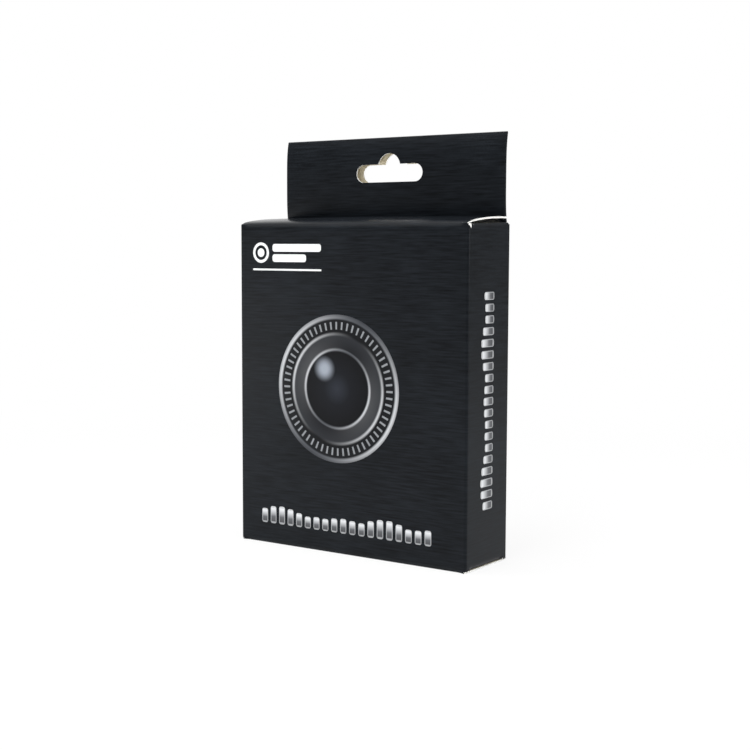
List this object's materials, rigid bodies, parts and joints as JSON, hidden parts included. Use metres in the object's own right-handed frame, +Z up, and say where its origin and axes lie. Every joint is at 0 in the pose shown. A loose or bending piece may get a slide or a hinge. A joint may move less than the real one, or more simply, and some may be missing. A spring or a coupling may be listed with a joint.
{
  "type": "retail carton with a video capture stick",
  "caption": "Flat hanging carton of printed card with tuck-in lids and a bowed two-ply hang tab; a foam insert inside holds a small video capture stick.",
  "frame": {"origin": "middle of the base, where the standing carton meets the table", "axes": "+X to the right seen from the printed front, +Y to the back, +Z up to the hang tab"},
  "size_m": [0.106, 0.0323, 0.161],
  "materials": {
    "printed_card": "matte",
    "foam": "matte",
    "black_aluminium": "satin",
    "plated_steel": "satin",
    "board_laminate": "satin",
    "moulded_black": "matte",
    "chip_ceramic": "matte",
    "gilt": "polished"
  },
  "bodies": {
    "carton": {"front_panel": "printed_card", "back_panel": "printed_card", "left_panel": "printed_card", "right_panel": "printed_card", "glue_flap": "printed_card", "tab_back_ply": "printed_card", "tab_front_ply": "printed_card", "insert_tray": "foam", "insert_backing": "foam", "stick_sleeve": "black_aluminium", "input_end_plate": "black_aluminium", "output_end_plate": "black_aluminium", "end_screws": "plated_steel", "circuit_board": "board_laminate", "capture_chip": "moulded_black", "memory_chip": "moulded_black", "crystal": "plated_steel", "regulators": "moulded_black", "passives": "chip_ceramic", "plug_shell": "plated_steel", "plug_tongue": "moulded_black", "plug_contacts": "gilt", "socket_shell": "plated_steel", "socket_tongue": "moulded_black", "socket_contacts": "gilt"},
    "top_lid": {"top_lid": "printed_card"},
    "top_tuck": {"top_tuck_flap": "printed_card"},
    "top_dust_left": {"top_dust_flap_left": "printed_card"},
    "top_dust_right": {"top_dust_flap_right": "printed_card"},
    "bottom_lid": {"bottom_lid": "printed_card"},
    "bottom_tuck": {"bottom_tuck_flap": "printed_card"},
    "bottom_dust_left": {"bottom_dust_flap_left": "printed_card"},
    "bottom_dust_right": {"bottom_dust_flap_right": "printed_card"}
  },
  "joints": [
    {"name": "top_lid_hinge", "type": "hinge", "parent": "carton", "child": "top_lid", "pos_m": [0, -0.0145, 0.1265], "axis": [1, 0, 0], "range_deg": [0, 150]},
    {"name": "top_tuck_hinge", "type": "hinge", "parent": "top_lid", "child": "top_tuck", "pos_m": [0, 0.013, 0.1285], "axis": [1, 0, 0], "range_deg": [-22.5, 0]},
    {"name": "top_dust_left_hinge", "type": "hinge", "parent": "carton", "child": "top_dust_left", "pos_m": [-0.0525, 0, 0.1258], "axis": [0, -1, 0], "range_deg": [0, 45]},
    {"name": "top_dust_right_hinge", "type": "hinge", "parent": "carton", "child": "top_dust_right", "pos_m": [0.0525, 0, 0.1258], "axis": [0, 1, 0], "range_deg": [0, 45]},
    {"name": "bottom_lid_hinge", "type": "hinge", "parent": "carton", "child": "bottom_lid", "pos_m": [0, -0.0145, 0.0005], "axis": [-1, 0, 0], "range_deg": [0, 150]},
    {"name": "bottom_tuck_hinge", "type": "hinge", "parent": "bottom_lid", "child": "bottom_tuck", "pos_m": [0, 0.0135, 0.0005], "axis": [-1, 0, 0], "range_deg": [-22.5, 0]},
    {"name": "bottom_dust_left_hinge", "type": "hinge", "parent": "carton", "child": "bottom_dust_left", "pos_m": [-0.0525, 0, 0.0012], "axis": [0, 1, 0], "range_deg": [0, 45]},
    {"name": "bottom_dust_right_hinge", "type": "hinge", "parent": "carton", "child": "bottom_dust_right", "pos_m": [0.0525, 0, 0.0012], "axis": [0, -1, 0], "range_deg": [0, 45]}
  ],
  "couplings": [
    {"joint": "top_tuck_hinge", "follows": "top_lid_hinge", "ratio": -0.15},
    {"joint": "top_dust_left_hinge", "follows": "top_lid_hinge", "ratio": 0.3},
    {"joint": "top_dust_right_hinge", "follows": "top_lid_hinge", "ratio": 0.3},
    {"joint": "bottom_tuck_hinge", "follows": "bottom_lid_hinge", "ratio": -0.15},
    {"joint": "bottom_dust_left_hinge", "follows": "bottom_lid_hinge", "ratio": 0.3},
    {"joint": "bottom_dust_right_hinge", "follows": "bottom_lid_hinge", "ratio": 0.3}
  ]
}
